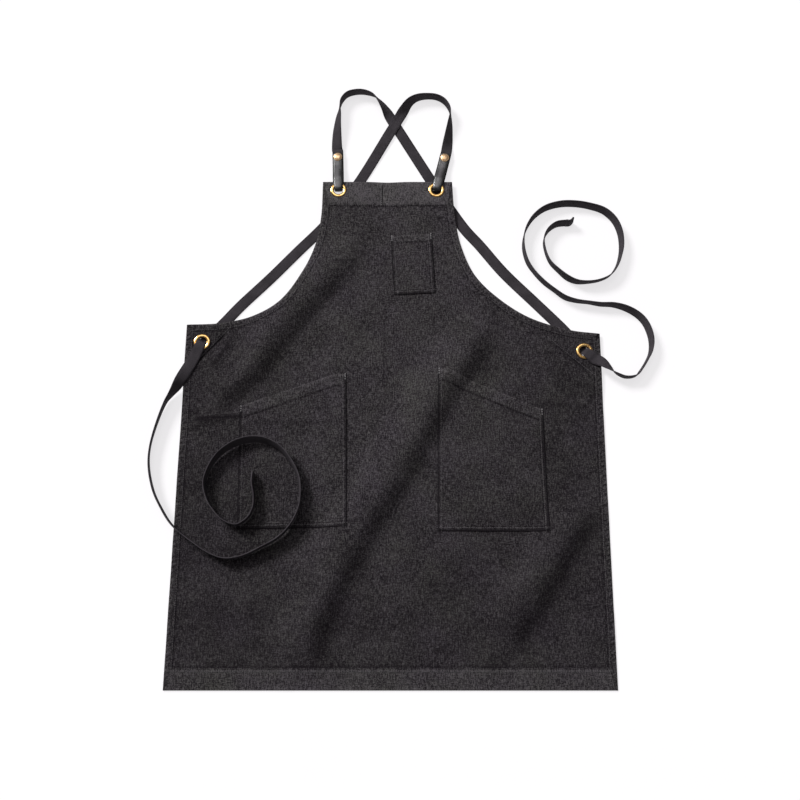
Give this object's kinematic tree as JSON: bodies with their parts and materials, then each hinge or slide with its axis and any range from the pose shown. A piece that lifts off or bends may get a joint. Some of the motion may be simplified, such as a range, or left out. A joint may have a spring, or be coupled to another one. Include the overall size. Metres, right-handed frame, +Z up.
{
  "type": "cross back apron",
  "caption": "Dark grey denim cross back work apron lying open, with bib and hip pockets, webbing straps on leather tabs with snaps, brass eyelets and long ties.",
  "frame": {"origin": "middle of the underside of the whole apron, on the surface that it lies on", "axes": "+Y from the hem towards the shoulder straps, +X to the right seen from above with the bib away from the viewer, +Z up out of the front of the apron"},
  "size_m": [0.8258, 1.034, 0.0239],
  "materials": {
    "denim": "dark grey heathered cotton denim, matt, with turned and stitched hems",
    "webbing": "flat charcoal cotton webbing with a fine rib",
    "leather": "smooth dark grey leather with a soft sheen",
    "brass": "polished brass",
    "aged_brass": "satin antique brass"
  },
  "bodies": {
    "root": {"apron_panel": "denim", "bib_pocket": "denim", "hip_pocket_left": "denim", "hip_pocket_right": "denim", "corner_patch_left": "denim", "corner_patch_right": "denim", "eyelet_bib_left": "brass", "washer_bib_left": "brass", "eyelet_bib_right": "brass", "washer_bib_right": "brass", "eyelet_corner_left": "brass", "washer_corner_left": "brass", "eyelet_corner_right": "brass", "washer_corner_right": "brass", "leather_tab_left": "leather", "leather_tab_right": "leather", "snap_cap_left": "aged_brass", "snap_stud_left": "aged_brass", "snap_cap_right": "aged_brass", "snap_stud_right": "aged_brass", "strap_from_left_tab": "webbing", "strap_from_right_tab": "webbing"}
  },
  "joints": []
}
